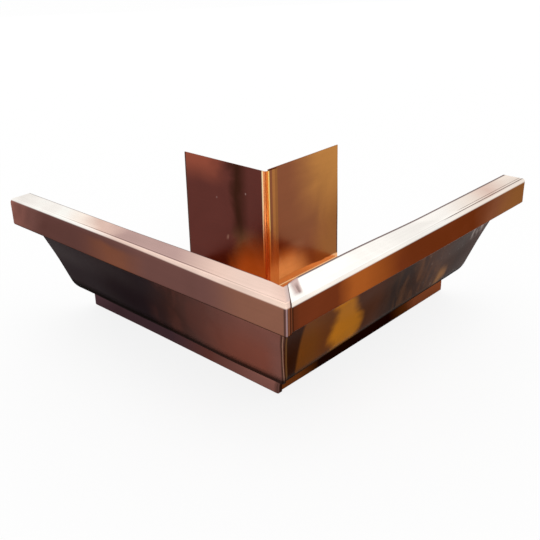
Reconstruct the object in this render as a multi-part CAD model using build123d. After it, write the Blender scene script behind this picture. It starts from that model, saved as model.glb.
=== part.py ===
from build123d import *
import os

# An outside miter for a five-inch K-style rain gutter: two folded copper sheets that meet at a
# right-angled house corner. Millimetres, +Z up. The origin is the house corner at the level of the
# gutter's underside: the fascia boards are the planes x = 0 and y = 0, the left leg runs towards +Y and
# faces -X, the right leg runs towards +X and faces -Y, and the lip's corner points to (-X, -Y).
sheet = 0.69  # 20-ounce copper
projection = 127.0  # fascia to the lip's face
leg_length = 197.0  # lip corner to the square-cut end
front_height = 82.5
back_height = 80.0

# The lip that stiffens the front edge.
lip_face = 14.2
lip_top = 13.2
lip_undercut = 12.0  # depth of the flat soffit behind the lip's face
turndown = 5.0  # hook along the lip top's inner edge, which hangers grip
turndown_relief = 11.0  # the hook stops this short of the inner corner

# The ogee front and the foot.
ogee_batter = 0.427  # inward run of the straight slope for each millimetre of fall
belly_height = 14.3  # where the straight slope would meet the shelf above the foot
belly_radius = 20.0
shelf_fall = 0.25  # drop of that shelf for each millimetre inward
foot_setback = 46.3  # lip face to the foot

# Outside radii of the folds. A fold that turns the other way is tight on its weather side.
fold_radius = 1.6
lip_edge_radius = 2.2
hook_radius = 1.1
tight_radius = 0.7

# The left sheet wraps round both upright corners and laps the right one.
front_lap = 3.0
back_lap = 9.5
corner_fold_radius = 0.9  # where the front is folded round the lip's corner
house_corner_radius = 2.4  # trough side of the fold round the house corner
lap_clearance = 3.0  # the laps stop this short of the fold between bottom and back

lip_line = -projection
lip_back = lip_line + lip_top
soffit_level = front_height - lip_face
soffit_back = lip_line + lip_undercut
foot_line = lip_line + foot_setback
leg_end = lip_line + leg_length
belly_line = soffit_back + ogee_batter * (soffit_level - belly_height)
foot_top = belly_height - shelf_fall * (foot_line - belly_line)

# One leg's section, followed on its weather side from the hook to the top of the back wall:
# position across the leg, level, and the fold's radius there.
outline = [
    (lip_back, front_height - turndown, 0.0),
    (lip_back, front_height, hook_radius),
    (lip_line, front_height, lip_edge_radius),
    (lip_line, soffit_level, fold_radius),
    (soffit_back, soffit_level, tight_radius),
    (belly_line, belly_height, belly_radius),
    (foot_line, foot_top, tight_radius),
    (foot_line, 0.0, fold_radius),
    (0.0, 0.0, fold_radius),
    (0.0, back_height, 0.0),
]


def inset(path, distance):
    """The path moved towards the trough, with each fold's radius changed to suit."""
    points = [Vector(across, level) for across, level, radius in path]
    headings = [(end - start).normalized() for start, end in zip(points, points[1:])]
    sides = [Vector(-heading.Y, heading.X) for heading in headings]
    before = [sides[0]] + sides
    after = sides + [sides[-1]]
    moved = []
    for point, radius, near, far in zip(points, [fold[2] for fold in path], before, after):
        corner = point + (near + far) * (distance / (1 + near.dot(far)))
        turns_to_trough = near.cross(far).Z > 0
        new_radius = radius - distance if turns_to_trough else radius + distance
        moved.append((corner.X, corner.Y, new_radius))
    return moved


def folded_line(path):
    """The path as straight runs joined by arcs, standing upright across a leg along +Y."""
    corners = [(across, 0, level) for across, level, radius in path]
    return FilletPolyline(*corners, radius=[radius for across, level, radius in path[1:-1]])


def sheet_section(path):
    """The cut face of one sheet whose weather side follows the path."""
    weather = folded_line(path)
    trough = folded_line(inset(path, sheet))
    free_edges = [Line(weather @ 0, trough @ 0), Line(weather @ 1, trough @ 1)]
    return make_face(weather.edges() + trough.edges() + free_edges)


def straight_leg(path):
    """A folded length of gutter along Y, long enough to be cut at the miter."""
    section = sheet_section(path)
    start = section.moved(Location((0, lip_line - projection, 0)))
    return extrude(start, amount=leg_end - lip_line + projection, dir=(0, 1, 0))


def miter_side(near, far, low=-10.0, high=front_height + 10.0):
    """An upright slab between two lines parallel to the miter, both given as x - y."""
    reach = 3 * projection
    corners = [(near - reach, -reach), (far - reach, -reach), (far + reach, reach), (near + reach, reach)]
    return extrude(Plane.XY.offset(low) * make_face(Polyline(*corners, close=True)), amount=high - low)


def across_miter(leg):
    """The same length of gutter along the other leg."""
    return leg.mirror(Plane(origin=(0, 0, 0), x_dir=(0, 0, 1), z_dir=(1, -1, 0)))


def block(x_range, y_range, z_range):
    """A box given by its limits."""
    size = [high - low for low, high in (x_range, y_range, z_range)]
    middle = [(high + low) / 2 for low, high in (x_range, y_range, z_range)]
    return Pos(*middle) * Box(*size)


def hook_relief():
    """What is cut from the lip's hooked edge beside the inner corner, on both legs."""
    inner = lip_back - hook_radius
    levels = (front_height - 2 * turndown, front_height + 1)
    beside = (inner, lip_back + turndown_relief)
    edge = (inner, lip_back + 1)
    return block(edge, beside, levels) + block(beside, edge, levels)


def house_corner_fold(straight):
    """The left sheet's back wall, folded round the house corner onto the trough side of the right one."""
    corner = (0, -sheet)
    house_side = FilletPolyline((0, straight), corner, (back_lap, -sheet), radius=house_corner_radius - sheet)
    trough_side = FilletPolyline(
        (-sheet, straight), (-sheet, -2 * sheet), (back_lap, -2 * sheet), radius=house_corner_radius
    )
    free_edges = [Line(house_side @ 0, trough_side @ 0), Line(house_side @ 1, trough_side @ 1)]
    strip = make_face(house_side.edges() + trough_side.edges() + free_edges)
    return extrude(Pos(0, 0, lap_clearance) * strip, amount=back_height - lap_clearance)


def round_front_corner(shape):
    """The left sheet's fold along the miter, rounded on the lip's face and from the soffit to the foot."""
    middle_of_slope = (soffit_level + belly_height) / 2
    for level, setback in (
        (front_height - lip_face / 2, 0.0),
        (middle_of_slope, lip_undercut + ogee_batter * (soffit_level - middle_of_slope)),
    ):
        spot = Vector(lip_line + setback, lip_line + setback, level)
        fold = shape.edges().sort_by_distance(spot)[0]
        shape = shape.fillet(corner_fold_radius, [fold])
    return shape


def make_left_sheet():
    """The leg along +Y, with its laps carried round both corners."""
    run = straight_leg(outline)
    far = 4 * projection
    tall = front_height + 1
    leg = run & miter_side(-far, 0)
    before_back = block((lip_line - 1, leg_end), (lip_line - 1, -lap_clearance - fold_radius), (-1, tall))
    front_strip = across_miter(run) & miter_side(0, front_lap) & before_back
    straight = 2 * lap_clearance
    sharp_corner = block((-straight, 1), (-straight, straight), (lap_clearance, tall))
    folded = round_front_corner(leg + front_strip)
    return folded - sharp_corner + house_corner_fold(straight) - hook_relief()


def make_right_sheet():
    """The leg along +X, which lies inside the left sheet at the front and behind it at the back."""
    hook = [
        (lip_back, front_height - turndown, 0.0),
        (lip_back, front_height - sheet, hook_radius),
    ]
    back_wall = [
        (0.0, sheet, fold_radius),
        (0.0, back_height, 0.0),
    ]
    nested = inset(outline, sheet)[len(hook):-len(back_wall)]
    run = across_miter(straight_leg(hook + nested + back_wall))
    far = 4 * projection
    wall_start = house_corner_radius
    behind_fold = block((-wall_start, wall_start), (-wall_start, 1), (lap_clearance, front_height))
    return (run & miter_side(0, far)) - behind_fold - hook_relief()


left_sheet = make_left_sheet()
right_sheet = make_right_sheet()

os.makedirs("parts", exist_ok=True)
for name, shape in {"left_sheet": left_sheet, "right_sheet": right_sheet}.items():
    shape.label = name
    export_step(shape, f"parts/{name}.step")
    print(name, len(shape.solids()), "solids", round(shape.volume, 1), "mm3")
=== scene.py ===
import math

import bmesh
import bpy
from mathutils import Matrix, Vector, noise


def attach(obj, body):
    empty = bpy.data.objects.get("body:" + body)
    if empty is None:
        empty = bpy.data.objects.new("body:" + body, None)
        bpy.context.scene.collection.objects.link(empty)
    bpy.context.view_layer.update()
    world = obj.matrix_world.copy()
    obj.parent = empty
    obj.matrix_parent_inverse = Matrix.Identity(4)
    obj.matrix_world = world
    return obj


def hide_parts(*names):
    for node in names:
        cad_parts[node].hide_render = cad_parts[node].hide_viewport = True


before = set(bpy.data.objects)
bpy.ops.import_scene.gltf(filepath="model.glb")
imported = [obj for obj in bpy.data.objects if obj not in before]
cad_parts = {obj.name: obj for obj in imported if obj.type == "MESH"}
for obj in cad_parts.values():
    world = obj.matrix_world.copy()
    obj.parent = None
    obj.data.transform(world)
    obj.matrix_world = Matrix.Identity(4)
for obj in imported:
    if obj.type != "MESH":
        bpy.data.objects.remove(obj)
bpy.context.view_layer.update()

# The gutter miter's sizes in millimetres, the same named values as in the part's source.
MM = 0.001
sheet = 0.69
projection = 127.0
leg_length = 197.0
front_height = 82.5
back_height = 80.0
lip_face = 14.2
lip_top = 13.2
lip_undercut = 12.0
turndown = 5.0
turndown_relief = 11.0
ogee_batter = 0.427
belly_height = 14.3
belly_radius = 20.0
shelf_fall = 0.25
foot_setback = 46.3
fold_radius = 1.6
lip_edge_radius = 2.2
hook_radius = 1.1
tight_radius = 0.7
soffit_radius = 3.0  # rounder than the part's plain fold
front_lap = 3.0
back_lap = 9.5
corner_radius = 0.9  # fold round the lip's corner, and where the fold round the house corner starts
house_fold_start = 2.4
lap_clearance = 3.0

lip_line = -projection
lip_back = lip_line + lip_top
soffit_level = front_height - lip_face
soffit_back = lip_line + lip_undercut
foot_line = lip_line + foot_setback
leg_end = lip_line + leg_length
belly_line = soffit_back + ogee_batter * (soffit_level - belly_height)
foot_top = belly_height - shelf_fall * (foot_line - belly_line)

# The section on its weather side: position across the leg, level, fold radius, steps round the fold.
outline = [
    (lip_back, front_height - turndown, 0.0, 0),
    (lip_back, front_height, hook_radius, 7),
    (lip_line, front_height, lip_edge_radius, 9),
    (lip_line, soffit_level, fold_radius, 8),
    (soffit_back, soffit_level, soffit_radius, 9),
    (belly_line, belly_height, belly_radius, 16),
    (foot_line, foot_top, tight_radius, 7),
    (foot_line, 0.0, fold_radius, 8),
    (0.0, 0.0, fold_radius, 8),
    (0.0, back_height, 0.0, 0),
]
zones = ["hook", "top", "face", "soffit", "slope", "shelf", "foot", "bottom", "back"]

# How finely the sheets are divided.
row_spacing = 2.6
support = 0.35  # rows this close to a fold keep the flats flat
closest_rows = 0.12
groove_rows = 4  # rows on either side of the fine line in the lip's top
far_columns = 66
near_columns = [9.0, 7.2, 5.8, 4.6, 3.8, 3.2, 2.8, house_fold_start, 1.6, corner_radius]
fold_steps = 8
tightest_bend = 0.15
lap_steps = 3
house_fold_steps = 10
house_lap_steps = 5
sharp_fold = math.radians(32)

# How the real sheets have sprung out of true and what marks they carry. Of two amounts the first is beside
# the corner and the second at the cut ends. A range says between which places something sets in, changes or
# ends: along the leg, or across it or up it where its name says so.
groove_place = 2.95  # a fine line pressed into the lip's top, this far from its face
groove_width = 0.36
groove_depth = 0.13
groove_start = (-0.5, 1.5)
left_groove_end = (140, 165)
right_groove_start = (80, 120)
dent_along = 9.6  # a dent in the right lip's top beside the seam
dent_across = 6.0
dent_slant = 0.35
dent_width = 1.5
dent_depth = 0.4
dent_edge = (2.5, 6.0)
left_lip_spread = (0.7, 0.0)  # how much wider the lips' tops are
right_lip_spread = (2.5, 0.7)
lip_spread_start = (0.0, 8.0)
lip_spread_change = (40, 105)
lip_spread_across = (2.5, 12.0)
lap_taper = 1.1  # how much narrower the front lap is over the belly
lip_drop = (0.35, 0.85)  # how much lower the lip's face reaches
lip_drop_change = (10, 120)
soffit_drop = 2.3  # how much lower the soffit's inner edge lies
left_foot_swell = (0.9, 0.3)  # how much further out the foot stands
right_foot_swell = (0.9, 0.9)
foot_swell_change = (30, 115)
left_end_lean = 1.0  # how much the back walls' cut ends lean in at the top
right_end_lean = 1.4
end_lean_reach = (15, 70)
left_head_drop = 0.5  # how much lower the left back wall's head lies
corner_sag = 1.9  # how much lower the belly hangs beside the corner than at the ends
corner_sag_reach = 85.0
corner_sag_levels = (1.5, 8.5, 17.0, 50.0)
corner_lean = 0.8  # sideways lean of the corner's fold over the belly
corner_lean_reach = 26.0
corner_lean_levels = (8.0, 13.0, 16.0, 42.0)
counter_lean = 0.5  # share of that lean by which the fold leans back under the lip
counter_lean_levels = (38.0, 52.0, 58.0, 68.0)
foot_lean = 0.4  # and at the foot
foot_lean_levels = (5.0, 9.0)
front_part = (-78.0, -70.0)
buckle = 0.16  # gentle waviness of the flats
buckle_size = 34.0
buckle_squash = 1.3  # the waves are this much shorter upwards than along the leg
buckle_gain = 1.6
buckle_edge = 0.7  # below 1 the waves reach nearer to the folds

# The copper's surface, with its lengths in metres: how its tones cloud, streak and wander.
cloud_scale = 30.0
broad_scale = 11.0
fine_scale = 1100.0
streak_scales = (14.0, 700.0)  # along the leg and down the section
wander_reach = (0.008, 0.03)  # the tones' edges are straight beside the corner and wander further off
wander_size = 0.024
wander_down = 0.25
edge_widening_reach = (0.02, 0.11)
cloud_shade = (0.92, 1.06)
streak_shade = (0.98, 1.02)
roughness_range = (0.14, 0.24)
streak_roughness = 0.05
broad_bump = {"Strength": 0.1, "Distance": 0.0006}
fine_bump = {"Strength": 0.04, "Distance": 0.0001}
painted_shade_cover = 0.9  # how much of the tone the painted shade lines under the lip and the belly hide
painted_shade_matte = 0.95  # and how much of the metal's shine
edge_tint = (0.49, 0.46, 0.45, 1.0)

# What a patch of painted light and shade is like where nothing else is said.
plain_light_and_shade_patch = {
    "side": "weather",
    "near_lean": 0.0,  # how far its near edge leans along the leg for each step down the section
    "lean": 0.0,  # and how far its far edge does
    "sharp": False,  # whether its edges stay clear of the clouding
    "strength": 1.0,
    "marbling": 0.0,  # scale of the marbling that breaks it up
    "grain": (0.4, 0.75),  # how much of that marbling shows
}

# The tone ramps run along a leg, in millimetres, and give the corner half of their length.
ramp_start = -12.0
ramp_middle = 8.0
ramp_end = 200.0


def smooth(value, low, high):
    """0 below low, 1 above high and a smooth step between."""
    place = min(1.0, max(0.0, (value - low) / (high - low)))
    return place * place * (3 - 2 * place)


def within(value, low, full_from, full_to, high):
    """1 between the middle two limits, 0 outside the outer two and a smooth step between."""
    return smooth(value, low, full_from) * (1 - smooth(value, full_to, high))


def inset(path, distance):
    """The path moved towards the trough, with each fold's radius changed to suit."""
    points = [Vector(corner[:2]) for corner in path]
    headings = [(end - start).normalized() for start, end in zip(points, points[1:])]
    sides = [Vector((-heading.y, heading.x)) for heading in headings]
    before = [sides[0]] + sides
    after = sides + [sides[-1]]
    moved = []
    for point, corner, near, far in zip(points, path, before, after):
        place = point + (near + far) * (distance / (1 + near.dot(far)))
        turns_to_trough = near.cross(far) > 0
        radius = corner[2] - distance if turns_to_trough else corner[2] + distance
        moved.append((place.x, place.y, radius, corner[3]))
    return moved


def folded(path):
    """Each corner of the path as a list of points round its fold."""
    points = [Vector(corner[:2]) for corner in path]
    folds = [[points[0]]]
    for place in range(1, len(path) - 1):
        radius, steps = path[place][2:]
        heading = (points[place] - points[place - 1]).normalized()
        leaving = (points[place + 1] - points[place]).normalized()
        turn = math.atan2(heading.cross(leaving), heading.dot(leaving))
        start = points[place] - heading * radius * math.tan(abs(turn) / 2)
        side = Vector((-heading.y, heading.x)) * math.copysign(1, turn)
        centre = start + side * radius
        arm = start - centre
        folds.append([centre + Matrix.Rotation(turn * k / steps, 2) @ arm for k in range(steps + 1)])
    folds.append([points[-1]])
    return folds


def stations(length, zone):
    """Where the rows lie along a straight run, as fractions of its length."""
    count = max(2, round(length / row_spacing))
    places = {k / count for k in range(count + 1)}
    if length > 4 * support:
        places |= {support / length, 1 - support / length}
    if zone == "top":
        groove = length - (groove_place - lip_edge_radius)
        steps = range(-groove_rows, groove_rows + 1)
        places |= {min(1.0, (groove + step * groove_width / 2) / length) for step in steps}
    if zone == "back":
        places.add((lap_clearance - fold_radius) / length)
    kept = []
    for place in sorted(places):
        if not kept or (place - kept[-1]) * length > closest_rows:
            kept.append(place)
    kept[-1] = 1.0
    return kept


def section_rows(path):
    """Rows down one sheet: weather and trough point, distance down the section, zone and place in it."""
    weather = folded(path)
    trough = folded(inset(path, sheet))
    rows = []
    down = 0.0
    for number, zone in enumerate(zones):
        start, end = weather[number][-1], weather[number + 1][0]
        inner_start, inner_end = trough[number][-1], trough[number + 1][0]
        length = (end - start).length
        for place in stations(length, zone):
            rows.append(
                {
                    "weather": start.lerp(end, place),
                    "trough": inner_start.lerp(inner_end, place),
                    "down": down + place * length,
                    "zone": zone,
                    "place": place,
                    "fold": 0.0,
                }
            )
        down += length
        bend = weather[number + 1]
        for k in range(1, len(bend) - 1):
            down += (bend[k] - bend[k - 1]).length
            rows.append(
                {
                    "weather": bend[k],
                    "trough": trough[number + 1][k],
                    "down": down,
                    "zone": zone + "_fold",
                    "place": k / (len(bend) - 1),
                    "fold": k / (len(bend) - 1),
                }
            )
        if len(bend) > 1:
            down += (bend[-1] - bend[-2]).length
    return rows


def along_columns(start):
    """Places along a leg from its cut end to the fold at the corner, for a row that starts at the miter."""
    reach = leg_end - start - turndown_relief
    far = [leg_end - reach * k / far_columns for k in range(far_columns + 1)]
    return far + [start + near for near in near_columns]


def lap_width(row):
    """How far the lap reaches over the other sheet at this row."""
    shares = {"slope": smooth(row["place"], 0.0, 1.0), "slope_fold": 1.0, "shelf": 1.0 - row["place"]}
    return front_lap - lap_taper * shares.get(row["zone"], 0.0)


def corner_columns(row):
    """The row's points round the corner and along the lap, in plan, on both faces of the sheet."""
    outer, inner = row["weather"].x, row["trough"].x
    sharp = {"hook": 1.0, "hook_fold": 1.0, "top": 1.0, "top_fold": 1.0 - row["fold"]}.get(row["zone"], 0.0)
    if row["zone"] == "foot_fold":
        sharp = row["fold"]
    if row["zone"] in ("bottom", "bottom_fold", "back"):
        sharp = 1.0
    points = []
    for face in (outer, inner):
        plan = []
        start = outer + corner_radius
        radius = max(tightest_bend, start - face)
        for k in range(1, fold_steps + 1):
            turn = math.pi / 2 * k / fold_steps
            centre = face + radius
            rounded = Vector((centre - radius * math.cos(turn), centre - radius * math.sin(turn)))
            part = 2 * k / fold_steps
            straight = Vector((face, start + (face - start) * part))
            if part > 1:
                straight = Vector((face + (start - face) * (part - 1), face))
            plan.append(rounded.lerp(straight, sharp))
        for k in range(1, lap_steps + 1):
            plan.append(Vector((start + (face + lap_width(row) - start) * k / lap_steps, face)))
        points.append(plan)
    return list(zip(*points))


def house_columns():
    """The back wall's points round the house corner and along its lap, in plan, on both faces."""
    points = []
    for face_radius, line in ((corner_radius + sheet, -sheet), (corner_radius + 2 * sheet, -2 * sheet)):
        centre = Vector((corner_radius + sheet, corner_radius))
        plan = []
        for k in range(1, house_fold_steps + 1):
            turn = math.pi / 2 * k / house_fold_steps
            plan.append(centre - face_radius * Vector((math.cos(turn), math.sin(turn))))
        for k in range(1, house_lap_steps + 1):
            plan.append(Vector((centre.x + (back_lap - centre.x) * k / house_lap_steps, line)))
        points.append(plan)
    return list(zip(*points))


def lowered(row, along):
    """How far the lip's lower part and the soffit are stretched down."""
    face = lip_drop[0] + (lip_drop[1] - lip_drop[0]) * smooth(along, *lip_drop_change)
    drops = {
        "face": face * row["place"],
        "face_fold": face,
        "soffit": face + (soffit_drop - face) * row["place"],
        "soffit_fold": soffit_drop,
        "slope": soffit_drop * (1 - smooth(row["place"], 0.0, 0.7)),
    }
    return drops.get(row["zone"], 0.0)


def swollen(row, along, left):
    """How far the foot stands out from its true plane."""
    beside, at_end = left_foot_swell if left else right_foot_swell
    shares = {
        "shelf": smooth(row["place"], 0.3, 1.0),
        "shelf_fold": 1.0,
        "foot": 1.0,
        "foot_fold": 1.0,
        "bottom": 1 - smooth(row["place"], 0.0, 0.3),
    }
    return (beside + (at_end - beside) * smooth(along, *foot_swell_change)) * shares.get(row["zone"], 0.0)


def warped(point):
    """The point moved as the corner has sunk and leant, with no change behind the front part."""
    distance = abs(point.x - point.y)
    front = 1 - smooth(min(point.x, point.y), *front_part)
    sag = within(point.z, *corner_sag_levels) * math.exp(-((distance / corner_sag_reach) ** 2))
    lean = within(point.z, *corner_lean_levels)
    lean -= counter_lean * within(point.z, *counter_lean_levels)
    lean -= foot_lean * (1 - smooth(point.z, *foot_lean_levels)) * front
    lean *= corner_lean * math.exp(-((distance / corner_lean_reach) ** 2)) * front
    return point + Vector((lean, -lean, -corner_sag * sag * front))


def waviness(point, row):
    """How far a flat has buckled at this point, towards its weather side or, on the outer flats, inwards."""
    if "_fold" in row["zone"] and row["zone"] != "slope_fold":
        return 0.0
    window = 1.0 if row["zone"] == "slope_fold" else math.sin(math.pi * row["place"]) ** buckle_edge
    if row["zone"] == "slope":
        window = math.sin(math.pi / 2 * min(1.0, row["place"] * 2)) ** buckle_edge
    if row["zone"] == "shelf":
        window = 1.0 - row["place"]
    if row["zone"] == "back":
        window = min(1.0, row["place"] * 4)
    size = 0.5 if row["zone"] in ("top", "face", "foot", "soffit", "hook") else 1.0
    spot = point / buckle_size
    spot.z *= buckle_squash
    wave = noise.noise(spot) * buckle_gain
    if row["zone"] in ("top", "face", "bottom", "back"):
        wave = min(0.0, (wave - 1.0) / 2)
    return buckle * size * window * wave


def in_plan(across, along, left):
    """A step in plan across a leg and along it, for the left sheet's leg or the right one's."""
    return Vector((across, along, 0)) if left else Vector((along, across, 0))


def sprung(outer, inner, row, along, left):
    """Both faces' points, in metres, moved as the real sheet has sprung out of true."""
    shift = (outer - inner).normalized() * waviness((outer + inner) / 2, row)
    shift.z -= lowered(row, along)
    swell = swollen(row, along, left)
    round_the_corner = along < 1.0
    shift += in_plan(-swell, -swell if round_the_corner else 0.0, left)
    across = row["weather"].x - lip_line
    if row["zone"] in ("hook", "hook_fold", "top"):
        beside, at_end = left_lip_spread if left else right_lip_spread
        spread = beside + (at_end - beside) * smooth(along, *lip_spread_change)
        spread *= smooth(along, *lip_spread_start) * smooth(across, *lip_spread_across)
        shift += in_plan(spread, 0.0, left)
    if row["zone"] == "back":
        lean = (left_end_lean if left else right_end_lean) * row["place"] * smooth(along, *end_lean_reach)
        shift -= in_plan(0.0, lean, left)
        shift.z -= left_head_drop * row["place"] if left else 0.0
    if row["zone"] == "top":
        offset = (across - groove_place) / groove_width
        pressed = 1.0 - smooth(along, *left_groove_end) if left else smooth(along, *right_groove_start)
        pressed *= smooth(along, *groove_start)
        shift.z -= groove_depth * pressed * math.exp(-offset * offset)
        if not left:
            offset = (along - dent_along + dent_slant * (across - dent_across)) / dent_width
            shift.z -= dent_depth * smooth(across, *dent_edge) * math.exp(-offset * offset)
    return (warped(outer) + shift) * MM, (warped(inner) + shift) * MM


def sheet_grid(path, left):
    """One folded sheet before it springs: its points on both faces, what is known of each, and its quads."""
    rows = section_rows(path)
    weather = []
    trough = []
    facts = []
    index = {}
    quads = []

    def place(key, row, plan_weather, plan_trough, along):
        if key not in index:
            index[key] = len(weather)
            for plan, level, face in (
                (plan_weather, row["weather"].y, weather),
                (plan_trough, row["trough"].y, trough),
            ):
                x, y = plan if left else (plan[1], plan[0])
                face.append(Vector((x, y, level)))
            facts.append((row, along))
        return index[key]

    def fill(upper, lower, stop):
        for k in range(stop):
            quads.append((upper[k], upper[k + 1], lower[k + 1], lower[k]))

    last = len(along_columns(0.0)) - 1
    wall_start = far_columns + 1 + near_columns.index(house_fold_start)
    middle = fold_steps // 2
    lap_end = fold_steps + lap_steps
    wall_row = next(
        k for k, row in enumerate(rows) if row["zone"] == "back" and row["weather"].y > lap_clearance - 0.01
    )
    lap_foot = -lap_clearance - fold_radius
    lap_stop = next(
        k for k, row in enumerate(rows) if row["zone"] == "bottom" and row["weather"].x > lap_foot
    )

    grid = []
    for number, row in enumerate(rows):
        outer, inner = row["weather"].x, row["trough"].x
        line = []
        for j, y in enumerate(along_columns(outer)):
            line.append(place(("leg", number, j), row, (outer, y), (inner, y), y - outer))
        grid.append(line)
    corner_grid = {}
    for number, row in enumerate(rows[:wall_row + 1]):
        line = [grid[number][last]]
        for k, (weather_plan, trough_plan) in enumerate(corner_columns(row), start=1):
            if not left and k > middle:
                break
            along = weather_plan.y - weather_plan.x
            if along < -corner_radius:
                stretch = (front_lap - corner_radius) / (lap_width(row) - corner_radius)
                along = -corner_radius + (along + corner_radius) * stretch
            line.append(place(("corner", number, k), row, weather_plan, trough_plan, along))
        corner_grid[number] = line
    house = house_columns()
    house_grid = {}
    if left:
        for number, row in enumerate(rows[wall_row:], start=wall_row):
            line = [grid[number][last]]
            for k, (weather_plan, trough_plan) in enumerate(house, start=1):
                line.append(place(("house", number, k), row, weather_plan, trough_plan, -weather_plan.x))
            house_grid[number] = line

    for number in range(len(rows) - 1):
        hook = rows[number]["zone"] in ("hook", "hook_fold")
        on_wall = number >= wall_row
        stop = last
        if hook:
            stop = far_columns
        if on_wall and not left:
            stop = wall_start
        fill(grid[number], grid[number + 1], stop)
        if not on_wall and not hook:
            lapped = left and number + 1 <= lap_stop
            fill(corner_grid[number], corner_grid[number + 1], lap_end if lapped else middle)
        if on_wall and left:
            fill(house_grid[number], house_grid[number + 1], len(house_grid[number]) - 1)

    used = sorted({k for quad in quads for k in quad})
    renumber = {k: n for n, k in enumerate(used)}
    quads = [tuple(renumber[k] for k in quad) for quad in quads]
    return [(weather[k], trough[k], *facts[k]) for k in used], quads


def closed_faces(quads, count, left):
    """A closed sheet's faces: one side, the other, whose points follow the first's, and the cut edges."""
    edges = {}
    for quad in quads:
        for a, b in zip(quad, quad[1:] + quad[:1]):
            edges.setdefault(frozenset((a, b)), []).append((a, b))
    faces = [quad if left else quad[::-1] for quad in quads]
    faces += [tuple(k + count for k in reversed(face)) for face in faces]
    for pairs in edges.values():
        if len(pairs) == 1:
            a, b = pairs[0] if left else pairs[0][::-1]
            faces.append((b, a, a + count, b + count))
    return faces


def make_sheet(name, path, left):
    """One folded sheet as a closed mesh that carries each point's distances down and along, and its side."""
    points, quads = sheet_grid(path, left)
    count = len(points)
    moved = [sprung(*point, left) for point in points]
    mesh = bpy.data.meshes.new(name)
    faces = closed_faces(quads, count, left)
    mesh.from_pydata([pair[0] for pair in moved] + [pair[1] for pair in moved], [], faces)
    for label, values in (
        ("down", [row["down"] * MM for outer, inner, row, along in points] * 2),
        ("along", [along * MM for outer, inner, row, along in points] * 2),
        ("trough", [0.0] * count + [1.0] * count),
    ):
        mesh.attributes.new(label, "FLOAT", "POINT").data.foreach_set("value", values)
    mesh.update()
    shape = bmesh.new()
    shape.from_mesh(mesh)
    bmesh.ops.recalc_face_normals(shape, faces=shape.faces)
    shape.to_mesh(mesh)
    shape.free()
    mesh.shade_smooth()
    mesh.set_sharp_from_angle(angle=sharp_fold)
    piece = bpy.data.objects.new(name, mesh)
    bpy.context.scene.collection.objects.link(piece)
    return piece


def linear(red, green, blue):
    """A colour on the 0 to 255 scale as linear light."""
    values = [channel / 255 for channel in (red, green, blue)]
    return tuple(v / 12.92 if v <= 0.04045 else ((v + 0.055) / 1.055) ** 2.4 for v in values) + (1.0,)


class Graph:
    """Short calls for the nodes of a material or the world. An input named i2 is a node's third socket."""

    def __init__(self, owner):
        owner.use_nodes = True
        self.owner = owner
        self.tree = owner.node_tree

    def node(self, kind, settings=None, **inputs):
        made = self.tree.nodes.new(kind)
        for key, value in (settings or {}).items():
            setattr(made, key, value)
        for key, value in inputs.items():
            socket = made.inputs[int(key[1:])] if key[0] == "i" and key[1:].isdigit() else made.inputs[key]
            if hasattr(value, "is_output"):
                self.tree.links.new(value, socket)
            else:
                socket.default_value = value
        return made

    def attribute(self, name):
        return self.node("ShaderNodeAttribute", {"attribute_name": name}).outputs["Fac"]

    def math(self, operation, first, second=0.0):
        return self.node("ShaderNodeMath", {"operation": operation}, i0=first, i1=second).outputs[0]

    def combined(self, x, y, z=0.0):
        return self.node("ShaderNodeCombineXYZ", None, X=x, Y=y, Z=z).outputs[0]

    def spread(self, value, low, high, bottom=0.0, top=1.0):
        settings = {"interpolation_type": "SMOOTHSTEP"}
        limits = {"i1": low, "i2": high, "i3": bottom, "i4": top}
        return self.node("ShaderNodeMapRange", settings, i0=value, **limits).outputs[0]

    def noise(self, vector, scale, detail=3.0, distortion=0.0):
        made = self.node("ShaderNodeTexNoise", None, Vector=vector, Scale=scale, Detail=detail)
        made.inputs["Distortion"].default_value = distortion
        return made.outputs["Fac"]

    def mix(self, factor, first, second, blend="MIX"):
        settings = {"data_type": "RGBA", "blend_type": blend}
        return self.node("ShaderNodeMix", settings, i0=factor, i6=first, i7=second).outputs[2]

    def ramp(self, factor, stops):
        made = self.node("ShaderNodeValToRGB", None, Fac=factor)
        elements = made.color_ramp.elements
        while len(elements) > 1:
            elements.remove(elements[-1])
        elements[0].position, elements[0].color = stops[0]
        for position, colour in stops[1:]:
            elements.new(position).color = colour
        return made.outputs["Color"]

    def flat(self, colour):
        made = self.node("ShaderNodeRGB")
        made.outputs[0].default_value = colour
        return made.outputs[0]

    def window(self, value, start, full_from, full_to, end):
        rise = self.spread(value, start, full_from)
        fall = self.spread(value, full_to, end, 1.0, 0.0)
        return self.math("MULTIPLY", rise, fall)


def level_of(zone, place=0.0):
    """A level on the section: a zone's start, its end or between, in millimetres down the section."""
    marks = down_marks[zone]
    return min(marks) + place * (max(marks) - min(marks))


def ramp_place(along):
    """Where a distance along the leg falls on the tone ramps, from 0 to 1."""
    near = min(1.0, max(0.0, (along - ramp_start) / (ramp_middle - ramp_start)))
    far = min(1.0, max(0.0, (along - ramp_middle) / (ramp_end - ramp_middle)))
    return (near + far) / 2


def light_and_shade_patch(tone, down, along, **manner):
    """A patch of another tone that paints reflected light and shade, between four levels down the section and
    four places along the leg.
    """
    return {**plain_light_and_shade_patch, "tone": tone, "down": down, "along": along, **manner}


def line_at(level, width):
    """The edges of a fine line along the sheet."""
    return (level - width, level - 0.4 * width, level + 0.4 * width, level + width)


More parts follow.
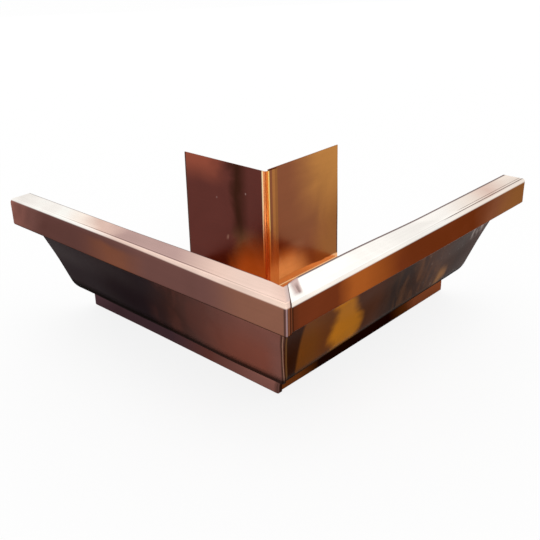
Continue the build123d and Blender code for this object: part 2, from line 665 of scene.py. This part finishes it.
def copper(name, weather, trough, light_and_shade_patches, edge_widening=0.0):
    """Sheet copper with tones along each band of its section, which paint its reflections, highlights and
    shade, with patches of painted reflection and shade, painted shade lines under the lip and the belly, and
    fine marks.
    """
    graph = Graph(bpy.data.materials.new(name))
    place = graph.node("ShaderNodeTexCoord").outputs["Object"]
    along = graph.attribute("along")
    down = graph.attribute("down")
    inside = graph.attribute("trough")
    cloud = graph.noise(place, cloud_scale, 4.0, 0.8)
    broad = graph.noise(place, broad_scale, 2.0, 0.4)
    fine = graph.noise(place, fine_scale, 2.0)
    stretched = [graph.math("MULTIPLY", way, scale) for way, scale in zip((along, down), streak_scales)]
    streak = graph.noise(graph.combined(*stretched), 1.0, 4.0, 0.2)
    loose = graph.spread(along, *wander_reach, 0.0, wander_size)
    wander = graph.math("MULTIPLY", graph.math("SUBTRACT", cloud, 0.5), loose)
    spot = graph.math("ADD", along, wander)
    spot_down = graph.math("ADD", down, graph.math("MULTIPLY", wander, wander_down))
    halves = [
        graph.node("ShaderNodeMapRange", None, i0=spot, i1=start * MM, i2=end * MM, i4=0.5).outputs[0]
        for start, end in ((ramp_start, ramp_middle), (ramp_middle, ramp_end))
    ]
    factor = graph.math("ADD", *halves)
    widening = graph.spread(along, *edge_widening_reach, edge_widening * MM, 0.0)
    widened = graph.math("SUBTRACT", down, widening)

    def toned(tones):
        result = None
        for band, limits in band_starts.items():
            stops = [(ramp_place(where), tone) for where, tone in tones[band]]
            colour = graph.ramp(factor, stops) if len(stops) > 1 else graph.flat(stops[0][1])
            if limits is None:
                result = colour
            else:
                level = widened if band == "face" else down
                low, high = [limit * MM for limit in limits]
                result = graph.mix(graph.spread(level, low, high), result, colour)
        return result

    def light_and_shade_mask(mark):
        start, full_from, full_to, end = [where * MM for where in mark["along"]]
        levels = [level * MM for level in mark["down"]]
        reach = along if mark["sharp"] else spot
        below = graph.math("SUBTRACT", down, levels[0])
        near_edge = graph.math("ADD", reach, graph.math("MULTIPLY", below, mark["near_lean"]))
        far_edge = graph.math("ADD", reach, graph.math("MULTIPLY", below, mark["lean"]))
        mask = graph.spread(near_edge, start, full_from)
        mask = graph.math("MULTIPLY", mask, graph.spread(far_edge, full_to, end, 1.0, 0.0))
        mask = graph.math("MULTIPLY", mask, graph.window(down if mark["sharp"] else spot_down, *levels))
        if mark["marbling"]:
            flow_along = graph.math("MULTIPLY", along, mark["marbling"])
            flow_down = graph.math("MULTIPLY", down, mark["marbling"] * 0.3)
            grain = graph.noise(graph.combined(flow_along, flow_down), 1.0, 3.0, 0.4)
            mask = graph.math("MULTIPLY", mask, graph.spread(grain, *mark["grain"]))
        return graph.math("MULTIPLY", mask, mark["strength"])

    sides = {"weather": toned(weather), "trough": toned(trough)}
    # patches of painted reflection and shade laid over the tones of each side
    for mark in light_and_shade_patches:
        sides[mark["side"]] = graph.mix(light_and_shade_mask(mark), sides[mark["side"]], mark["tone"])
    tone = graph.mix(inside, sides["weather"], sides["trough"])
    clouding = graph.spread(cloud, 0.25, 0.75, *cloud_shade)
    value = graph.math("MULTIPLY", clouding, graph.spread(streak, 0.3, 0.7, *streak_shade))
    tone = graph.mix(1.0, tone, graph.combined(value, value, value), "MULTIPLY")
    streaked = graph.math("MULTIPLY", streak, streak_roughness)
    roughness = graph.math("ADD", graph.spread(cloud, 0.3, 0.7, *roughness_range), streaked)
    swell = graph.node("ShaderNodeBump", None, Height=broad, **broad_bump).outputs[0]
    bump = graph.node("ShaderNodeBump", None, Height=fine, Normal=swell, **fine_bump).outputs[0]
    # painted shade under the lip and under the belly: dark, with the metal's shine taken away, on the weather
    # side only
    lines = [graph.window(down, *[level * MM for level in levels]) for levels in (under_lip, under_belly)]
    painted_shade = graph.math("MULTIPLY", graph.math("ADD", *lines), graph.math("SUBTRACT", 1.0, inside))
    tone = graph.mix(graph.math("MULTIPLY", painted_shade, painted_shade_cover), tone, pitch)
    metal = graph.math("SUBTRACT", 1.0, graph.math("MULTIPLY", painted_shade, painted_shade_matte))
    shader = graph.tree.nodes["Principled BSDF"]
    linked = {"Metallic": metal, "Base Color": tone, "Roughness": roughness, "Normal": bump}
    for socket, value in linked.items():
        graph.tree.links.new(value, shader.inputs[socket])
    shader.inputs["Specular IOR Level"].default_value = 0.0
    shader.inputs["Specular Tint"].default_value = edge_tint
    return graph.owner


# Levels down the section, in millimetres, at which the bands and marks are set.
down_marks = {}
for row in section_rows(outline):
    down_marks.setdefault(row["zone"], []).append(row["down"])
top_start, top_end = level_of("top"), level_of("top", 1.0)
face_start, face_end = level_of("face"), level_of("face", 1.0)
slope_start, slope_end = level_of("slope"), level_of("slope_fold", 1.0)
bottom_end = level_of("bottom", 1.0)
back_foot, back_head = level_of("back"), level_of("back", 1.0)
groove_level = top_end - (groove_place - lip_edge_radius)
# Painted shade lines under the lip and under the belly, dark and matte: where each sets in, is full, and
# ends.
under_lip = (
    level_of("face_fold"),
    level_of("face_fold", 0.35),
    level_of("soffit", 0.9),
    level_of("soffit", 1.0),
)
under_belly = (
    level_of("slope", 1.0) - 3,
    level_of("slope_fold", 0.12),
    level_of("shelf", 1.0),
    level_of("foot"),
)

# Bands down the section that each have their own tones along the leg, and between which levels each sets in.
band_starts = {
    "hook": None,
    "top": (level_of("hook_fold", 0.9), level_of("top") + 0.35),
    # the edge band is a painted highlight along the lip's rounded edge
    "edge": (level_of("top_fold") - 0.6, level_of("top_fold")),
    "face": (level_of("top_fold", 0.38), level_of("top_fold", 0.66)),
    "slope": (level_of("soffit") - 0.6, level_of("soffit")),
    # the shelf band is painted shade under the belly
    "shelf": (level_of("slope_fold", 0.3), level_of("slope_fold", 0.6)),
    "foot": (level_of("foot") - 0.6, level_of("foot") - 0.2),
    "bottom": (level_of("foot", 1.0), level_of("bottom")),
    "back": (level_of("bottom", 1.0), level_of("back")),
}

# The tones that the copper shows, most of them painted reflections of its surroundings, painted highlights
# and painted shade.
white_hot = linear(252, 249, 243)
cream = linear(252, 240, 228)
rose = linear(226, 196, 182)
dusk = linear(188, 158, 152)
blush = linear(236, 208, 194)
mauve = linear(112, 76, 70)
brown = linear(140, 94, 76)
rust = linear(136, 82, 56)
russet = linear(114, 54, 30)
dark_russet = linear(98, 48, 28)
orange = linear(172, 92, 40)
amber = linear(200, 118, 60)
flame = linear(255, 212, 120)
peach = linear(255, 232, 182)
umber = linear(86, 58, 50)
coffee = linear(56, 30, 20)
ink = linear(25, 24, 33)
pitch = linear(18, 8, 4)
gold = linear(226, 142, 28)
brass_gold = linear(192, 132, 70)
plum = linear(80, 57, 62)
wine = linear(148, 98, 88)
rosewood = linear(156, 82, 62)
maroon = linear(94, 50, 44)
bright = linear(226, 150, 112)
taupe = linear(124, 106, 104)
lilac = linear(168, 138, 140)
pewter = linear(196, 178, 174)
tan = linear(150, 96, 54)
honey = linear(130, 75, 28)
clay = linear(176, 134, 116)
walnut = linear(92, 48, 24)
smoke = linear(210, 196, 190)
glow = linear(222, 160, 110)
apricot = linear(246, 198, 152)
chestnut = linear(138, 76, 48)
soot = linear(32, 15, 8)
slate = linear(34, 30, 38)
cocoa = linear(72, 46, 42)
bark = linear(34, 16, 8)
sepia = linear(118, 70, 62)
bistre = linear(98, 65, 60)
straw = linear(170, 112, 62)
olive = linear(124, 84, 48)
petal = linear(242, 214, 196)
nutmeg = linear(120, 64, 30)
hazel = linear(66, 36, 22)
sunny = linear(238, 178, 126)

# Tones along each band: place along the leg in millimetres, negative round the corner, and tone.
# beside the corner the steps in the tones paint the seam: painted shadow lines at the lap's edges and painted
# highlights on the folds round the corner
left_weather = {
    "hook": [(0, taupe)],
    "top": [
        (-3, umber), (-2.75, umber), (-2.5, pewter), (0, rose), (20, blush), (40, rose), (64, dusk),
        (100, dusk), (120, rose), (136, cream), (150, white_hot),
    ],
    "edge": [
        (-3, umber), (-2.6, umber), (-2.2, rose), (0, petal), (40, blush), (100, blush), (140, white_hot),
    ],
    "face": [
        (-3, dark_russet), (-2.6, dark_russet), (-2.35, coffee), (-2.15, coffee), (-1.9, rust),
        (-1.25, rust), (-1.0, umber), (-0.8, umber), (-0.5, lilac), (-0.1, lilac), (0.3, mauve),
        (0.85, umber), (1.15, umber), (1.6, brown), (22, brown), (45, mauve), (72, mauve), (90, mauve),
        (125, bistre), (165, bistre), (180, mauve), (196, wine),
    ],
    "slope": [
        (-3, pitch), (-2.5, pitch), (-2.3, dark_russet), (-1.3, umber), (-1.0, clay), (-0.6, clay),
        (-0.3, umber), (0.3, umber), (1.2, wine), (24, wine), (50, mauve), (72, cocoa), (94, slate),
        (120, ink), (190, ink),
    ],
    "shelf": [(0, coffee), (40, pitch), (190, pitch)],
    "foot": [
        (-3, coffee), (-1.4, coffee), (-0.8, umber), (-0.4, mauve), (0.1, mauve), (0.5, umber), (2, wine),
        (18, wine), (46, sepia), (80, plum), (150, plum),
    ],
    "bottom": [(0, wine), (150, brown)],
    "back": [(0, brown), (60, rust)],
}
right_weather = {
    "hook": [(0, taupe)],
    "top": [
        (3, umber), (3.2, umber), (3.4, white_hot), (120, white_hot), (140, cream), (158, blush),
        (180, cream),
    ],
    "edge": [(3, coffee), (3.3, coffee), (3.6, cream), (110, white_hot), (140, cream)],
    "face": [
        (3, dark_russet), (3.5, rust), (3.7, pitch), (3.95, pitch), (4.4, dark_russet), (10, russet),
        (32, russet), (42, orange), (50, orange), (82, russet), (140, russet), (166, rust), (185, tan),
    ],
    "slope": [
        (3, olive), (4.0, olive), (4.2, honey), (24, honey), (36, nutmeg), (54, walnut), (70, walnut),
        (88, bark), (98, bark), (116, hazel), (134, hazel), (150, bark), (190, cocoa),
    ],
    "shelf": [(0, coffee), (30, pitch), (190, pitch)],
    "foot": [
        (0, nutmeg), (14, nutmeg), (30, soot), (94, soot), (110, walnut), (122, chestnut), (150, chestnut),
    ],
    "bottom": [(0, wine), (150, brown)],
    "back": [(0, brown), (60, rust)],
}
inner = {band: [(0, bright)] for band in band_starts}
inner["bottom"] = [(0, amber)]
# the left back wall's tones paint a highlight up its fold round the house corner and reflections across the
# wall
left_back = [
    (-9.5, tan), (-7.4, tan), (-7.0, straw), (-5.0, straw), (-4.5, rust), (-2.6, rust), (-2.0, flame),
    (-0.8, flame), (-0.2, peach), (1.5, peach), (2.1, maroon), (13, maroon), (21, coffee), (30, maroon),
    (60, maroon),
]
right_back = [(9, rust), (20, rust), (40, rust), (62, tan)]

# Patches of painted reflection and shade, fine painted lines and specks, with their levels and places in
# millimetres.
left_light_and_shade_patches = [
    light_and_shade_patch(
        rust, down=(face_start, face_end - 7, face_end + 3, face_end + 6), along=(82, 104, 113, 142),
        lean=0.3, strength=0.6,
    ),
    light_and_shade_patch(
        rosewood, down=(slope_start, slope_end - 24, slope_end - 8, slope_end), along=(1.5, 12, 22, 60),
        strength=0.55,
    ),
    light_and_shade_patch(
        sepia, down=(slope_start, slope_start + 8, slope_end - 14, slope_end - 4), along=(30, 44, 78, 96),
        marbling=120.0, grain=(0.42, 0.66), strength=0.4,
    ),
    light_and_shade_patch(
        rust, down=(slope_end - 16, slope_end - 8, slope_end - 5, slope_end), along=(6, 14, 30, 48),
        strength=0.35,
    ),
    # a painted shade line along the pressed line in the lip's top
    light_and_shade_patch(umber, down=line_at(groove_level, 0.32), along=(20, 60, 120, 150), strength=0.6, sharp=True),
    # a painted reflection on the trough's floor next to the back wall
    light_and_shade_patch(
        amber, down=(bottom_end - 14, bottom_end - 11, back_foot, back_foot + 1),
        along=(-20, -19, 300, 301), side="trough",
    ),
    light_and_shade_patch(
        rosewood, down=(back_head - 20, back_head - 2, back_head + 9, back_head + 10),
        along=(26, 50, 130, 140), side="trough", strength=0.8,
    ),
    # a painted orange glow of reflected light at the foot of the back wall, beside the house corner
    light_and_shade_patch(
        glow, down=(back_foot, back_foot + 1, back_foot + 8, back_foot + 42), along=(-9.7, -9.6, 20, 44),
        side="trough", lean=0.35,
    ),
    light_and_shade_patch(
        umber, down=(back_foot - 1, back_foot, back_head + 2, back_head + 3), along=(68.7, 69.1, 80, 81),
        side="trough", sharp=True,
    ),
    light_and_shade_patch(
        clay, down=(back_foot + 26, back_foot + 28, back_foot + 29, back_foot + 31),
        along=(32.0, 32.8, 33.2, 34.8), side="trough", near_lean=0.25, lean=0.25, strength=0.35, sharp=True,
    ),
    light_and_shade_patch(
        dusk, down=line_at(back_foot + 61, 0.9), along=(14.9, 15.5, 15.7, 16.4), side="trough",
        strength=0.4, sharp=True,
    ),
    light_and_shade_patch(
        dusk, down=line_at(back_foot + 53.5, 0.8), along=(40.9, 41.3, 41.5, 42.1), side="trough",
        strength=0.35, sharp=True,
    ),
]
right_light_and_shade_patches = [
    light_and_shade_patch(
        coffee, down=(slope_start - 9, slope_start - 8, slope_end, slope_end + 9),
        along=(4.6, 4.8, 18.5, 21.0), near_lean=0.028, lean=0.2, sharp=True,
    ),
    # a painted highlight along the fold under the right lip's face
    light_and_shade_patch(
        orange, down=(face_end - 0.9, face_end - 0.4, face_end + 0.5, face_end + 1.1),
        along=(3.7, 6, 60, 120), strength=0.6, sharp=True,
    ),
    light_and_shade_patch(
        gold, down=(slope_start, slope_start + 8, slope_end - 14, slope_end), along=(32, 41, 45, 53),
        lean=-0.2,
    ),
    light_and_shade_patch(
        tan, down=(slope_start - 5, slope_start, slope_end - 15, slope_end), along=(66, 112, 122, 140),
        marbling=160.0, strength=0.42,
    ),
    light_and_shade_patch(
        smoke, down=(slope_start, slope_start + 8, slope_end - 12, slope_end - 4),
        along=(104, 116, 160, 172), marbling=620.0, grain=(0.66, 0.76), strength=0.5,
    ),
    light_and_shade_patch(
        brass_gold, down=(slope_end - 34, slope_end - 24, slope_end - 20, slope_end - 8),
        along=(127, 133, 134, 140), strength=0.8,
    ),
    light_and_shade_patch(
        smoke, down=(slope_start - 2, slope_start, slope_start + 16, slope_start + 24),
        along=(156, 162, 170, 176), marbling=330.0, strength=0.7,
    ),
    # painted shade in the dent in the right lip's top, beside the seam
    light_and_shade_patch(
        dusk, down=(top_start - 2, top_start, top_end - 4, top_end - 1.5), along=(4.4, 8.4, 11.5, 13.2),
        lean=0.15, strength=0.85,
    ),
    light_and_shade_patch(
        umber, down=(top_start + 0.8, top_start + 4, top_start + 6, top_end - 2),
        along=(8.4, 9.2, 10.0, 11.4), lean=0.1, strength=0.5,
    ),
    # painted shade lines: one along the pressed line in the lip's top and one beside it
    light_and_shade_patch(umber, down=line_at(groove_level, 0.36), along=(112, 122, 200, 210), sharp=True),
    light_and_shade_patch(
        umber, down=line_at(groove_level - 1.7, 0.3), along=(126, 134, 200, 210), strength=0.7, sharp=True,
    ),
    # a painted reflection on the trough's floor next to the back wall
    light_and_shade_patch(
        sunny, down=(bottom_end - 34, bottom_end - 20, back_foot, back_foot + 1),
        along=(-20, -19, 300, 301), side="trough",
    ),
    # a painted glow of reflected light at the foot of the back wall, beside the house corner
    light_and_shade_patch(
        apricot, down=(back_foot, back_foot + 1, back_foot + 10, back_foot + 24), along=(-10, -9, 20, 48),
        side="trough", lean=0.4,
    ),
    light_and_shade_patch(
        umber, down=(back_foot - 1, back_foot, back_head + 2, back_head + 3), along=(68.8, 69.2, 80, 81),
        side="trough", sharp=True,
    ),
    light_and_shade_patch(
        brass_gold, down=(back_head - 60, back_head - 16, back_head + 9, back_head + 10),
        along=(18, 62, 130, 140), side="trough", strength=0.9,
    ),
]
left_copper = copper("left_copper", left_weather, dict(inner, back=left_back), left_light_and_shade_patches, edge_widening=0.9)
right_copper = copper("right_copper", right_weather, dict(inner, back=right_back), right_light_and_shade_patches)

right_outline = [
    (lip_back, front_height - turndown, 0.0, 0),
    (lip_back, front_height - sheet, hook_radius, 7),
    *inset(outline, sheet)[2:-2],
    (0.0, sheet, fold_radius, 8),
    (0.0, back_height, 0.0, 0),
]
for name, path, left, material in (
    ("left_sheet_copper", outline, True, left_copper),
    ("right_sheet_copper", right_outline, False, right_copper),
):
    piece = make_sheet(name, path, left)
    piece.data.materials.append(material)
    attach(piece, "root")
    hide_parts("left_sheet" if left else "right_sheet")

# A plain pale floor that keeps the shadow, under a white surround.
white = (1.0, 1.0, 1.0, 1.0)
pale = (0.94, 0.94, 0.94, 1.0)
floor_reach = 6.0
floor_gap = 0.0002
floor_white = 0.85  # share of plain white in what the camera sees of the floor
floor_mirrored = 0.4  # and in what the copper mirrors of it
sky_light = 0.7
floor_corners = [(x * floor_reach, y * floor_reach, 0) for x, y in ((-1, -1), (1, -1), (1, 1), (-1, 1))]
floor_mesh = bpy.data.meshes.new("floor")
floor_mesh.from_pydata(floor_corners, [], [(0, 1, 2, 3)])
floor = bpy.data.objects.new("floor", floor_mesh)
floor.location.z = -floor_gap
bpy.context.scene.collection.objects.link(floor)
paint = Graph(bpy.data.materials.new("pale_floor"))
matte = paint.tree.nodes["Principled BSDF"]
matte.inputs["Base Color"].default_value = pale
matte.inputs["Roughness"].default_value = 1.0
matte.inputs["Specular IOR Level"].default_value = 0.0
lit = paint.node("ShaderNodeEmission", None, Color=white, Strength=1.0)
rays = paint.node("ShaderNodeLightPath").outputs
seen = paint.math("MAXIMUM", rays["Is Camera Ray"], rays["Is Transmission Ray"])
mirrored = paint.math("MULTIPLY", rays["Is Glossy Ray"], floor_mirrored)
share = paint.math("MAXIMUM", paint.math("MULTIPLY", seen, floor_white), mirrored)
surface = paint.node("ShaderNodeMixShader", None, i0=share, i1=matte.outputs[0], i2=lit.outputs[0]).outputs[0]
paint.tree.links.new(surface, paint.tree.nodes["Material Output"].inputs["Surface"])
floor_mesh.materials.append(paint.owner)

world = bpy.data.worlds.new("studio")
bpy.context.scene.world = world
sky = Graph(world)
background = sky.tree.nodes["Background"]
background.inputs["Color"].default_value = white
sky_rays = sky.node("ShaderNodeLightPath").outputs
seen_sky = sky.math("MAXIMUM", sky_rays["Is Camera Ray"], sky_rays["Is Glossy Ray"])
seen_sky = sky.math("MAXIMUM", seen_sky, sky_rays["Is Transmission Ray"])
strength = sky.node("ShaderNodeMapRange", None, i0=seen_sky, i3=sky_light, i4=1.0).outputs[0]
sky.tree.links.new(strength, background.inputs["Strength"])

# A big soft lamp behind the house corner, and a wide soft sun from in front and above.
window_place = Vector((0.9, 0.9, 0.62))
window_target = Vector((0.0, 0.0, 0.06))
window_lamp = bpy.data.lights.new("window", "AREA")
window_lamp.size = 1.5
window_lamp.energy = 1.9
window_object = bpy.data.objects.new("window", window_lamp)
window_object.location = window_place
window_object.rotation_euler = (window_target - window_place).to_track_quat("-Z", "Y").to_euler()
bpy.context.scene.collection.objects.link(window_object)
daylight_from = Vector((-0.3, -0.45, 1.0))
daylight = bpy.data.lights.new("daylight", "SUN")
daylight.energy = 1.1
daylight.angle = math.radians(60)
daylight_object = bpy.data.objects.new("daylight", daylight)
daylight_object.rotation_euler = daylight_from.to_track_quat("Z", "Y").to_euler()
bpy.context.scene.collection.objects.link(daylight_object)

# The camera stands in front of the lip's corner, above it, where the photograph was taken from.
camera_place = Vector((-0.329581, -0.305182, 0.221553))
camera_right = Vector((0.69656, -0.71649, -0.03809))
camera_up = Vector((0.32219, 0.26491, 0.90886))
camera_forward = Vector((0.64109, 0.64534, -0.41537))
camera_data = bpy.data.cameras.new("camera")
camera_data.sensor_width = 36.0
camera_data.sensor_fit = "HORIZONTAL"
camera_data.lens = 53.108
camera_data.shift_x = 0.0614
camera_data.clip_start = 0.01
camera = bpy.data.objects.new("camera", camera_data)
bpy.context.scene.collection.objects.link(camera)
stance = Matrix((camera_right, camera_up, -camera_forward)).transposed().to_4x4()
stance.translation = camera_place
camera.matrix_world = stance
bpy.context.scene.camera = camera

bpy.context.scene.view_settings.view_transform = "Standard"
